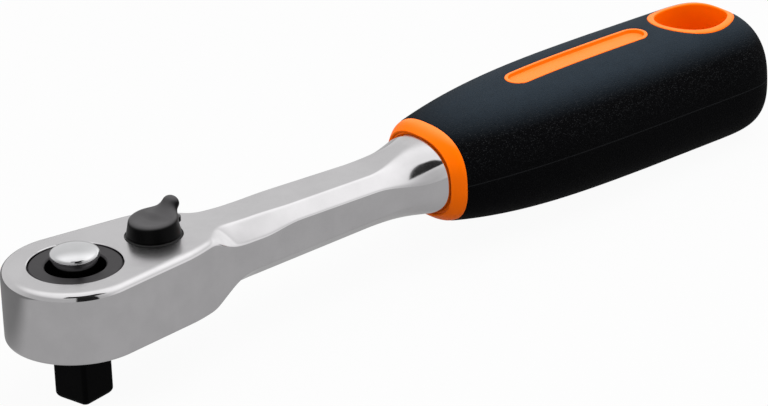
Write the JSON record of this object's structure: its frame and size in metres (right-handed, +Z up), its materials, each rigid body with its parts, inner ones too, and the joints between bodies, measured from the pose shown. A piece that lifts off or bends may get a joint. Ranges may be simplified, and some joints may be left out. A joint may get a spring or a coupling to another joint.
{
  "type": "reversible ratchet",
  "caption": "Reversible ratchet with a square drive, quick-release button, reversing lever, chrome shank and a soft oval handle with a hanging eye.",
  "frame": {"origin": "centre of the drive square's end face", "axes": "+Z up the drive axis to the release button, +X along the shank to the handle"},
  "size_m": [0.2113, 0.035, 0.0397],
  "materials": {
    "chrome": "satin chrome plate",
    "button_chrome": "polished chrome plate",
    "bright_steel": "ground",
    "black_steel": "black oxide",
    "spring_steel": "drawn wire",
    "black_plastic": "satin moulded",
    "seal_rubber": "matte",
    "orange_plastic": "smooth moulded",
    "grip_rubber": "fine pebbled soft grip"
  },
  "bodies": {
    "frame": {"ratchet_body": "chrome", "cover_plate": "bright_steel", "cover_screw_1": "black_steel", "cover_screw_2": "black_steel", "thrust_washer": "bright_steel", "pawl_pin": "bright_steel", "handle_core": "orange_plastic", "handle_grip": "grip_rubber"},
    "drive": {"drive_gear": "black_steel", "upper_gear_seal": "seal_rubber", "lower_gear_seal": "seal_rubber", "release_spring": "spring_steel"},
    "button": {"release_button": "button_chrome"},
    "ball": {"detent_ball": "bright_steel"},
    "selector": {"selector_lever": "black_plastic", "lever_seal": "seal_rubber", "selector_spring": "spring_steel", "selector_plunger": "bright_steel", "lever_clip": "spring_steel"},
    "rocker": {"pawl": "black_steel"}
  },
  "joints": [
    {"name": "drive_turn", "type": "hinge", "parent": "frame", "child": "drive", "pos_m": [0, 0, 0.0238], "axis": [0, 0, 1], "continuous": true},
    {"name": "button_press", "type": "slide", "parent": "drive", "child": "button", "axis": [0, 0, -1], "range_m": [0, 0.0024], "stiffness_N_per_m": 1500, "springref_m": -0.001, "deforming": ["release_spring"]},
    {"name": "ball_retract", "type": "slide", "parent": "drive", "child": "ball", "axis": [-0.9763, -0.2164, 0], "range_m": [0, 0.0006]},
    {"name": "selector_swing", "type": "hinge", "parent": "frame", "child": "selector", "pos_m": [0.0212, 0, 0.0325], "axis": [0, 0, 1], "range_deg": [-22, 0]},
    {"name": "pawl_rock", "type": "hinge", "parent": "frame", "child": "rocker", "pos_m": [0.0145, 0, 0.02315], "axis": [0, 0, 1], "range_deg": [0, 7]}
  ],
  "couplings": [
    {"joint": "ball_retract", "follows": "button_press", "ratio": 0.25},
    {"joint": "pawl_rock", "follows": "selector_swing", "ratio": -0.318}
  ]
}
